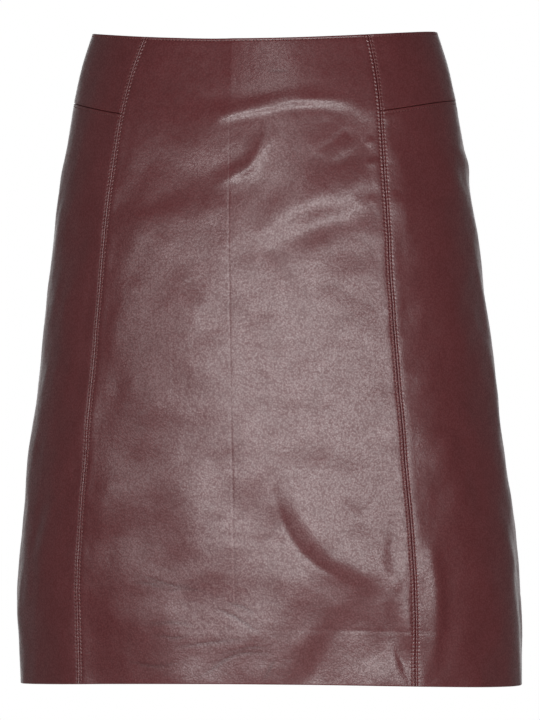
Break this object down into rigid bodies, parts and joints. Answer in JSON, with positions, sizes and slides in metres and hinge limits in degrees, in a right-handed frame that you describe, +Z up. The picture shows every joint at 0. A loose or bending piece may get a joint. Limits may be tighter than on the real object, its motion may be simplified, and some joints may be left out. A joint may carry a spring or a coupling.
{
  "type": "leather skirt",
  "caption": "A-line mini skirt of burgundy nappa, filled out and open at waist and hem, with topstitched princess seams, hip yokes and a concealed back zip.",
  "frame": {"origin": "middle of the waist opening, level with the waist edge at the sides, where the wearer holds the skirt up", "axes": "+Z up, the front of the skirt towards -Y, the wearer's left towards +X"},
  "size_m": [0.3791, 0.2789, 0.488],
  "materials": {
    "leather": "smooth burgundy lamb nappa with a fine grain and a low satin gloss",
    "polyester": "polyester zip tape and sewing thread, matt, dyed to the leather",
    "zip_metal": "die-cast slider and pull with a dull gunmetal plating"
  },
  "bodies": {
    "skirt": {"front_panel": "leather", "yoke_left": "leather", "yoke_right": "leather", "side_panel_left": "leather", "side_panel_right": "leather", "back_panel_left": "leather", "back_panel_right": "leather", "zip_tape_left": "polyester", "zip_tape_right": "polyester", "zip_slider": "zip_metal"},
    "pull": {"zip_pull": "zip_metal"}
  },
  "joints": [
    {"name": "pull_flip", "type": "hinge", "parent": "skirt", "child": "pull", "pos_m": [0, 0.10323, -0.01233], "axis": [1, 0, 0], "range_deg": [0, 160]}
  ]
}
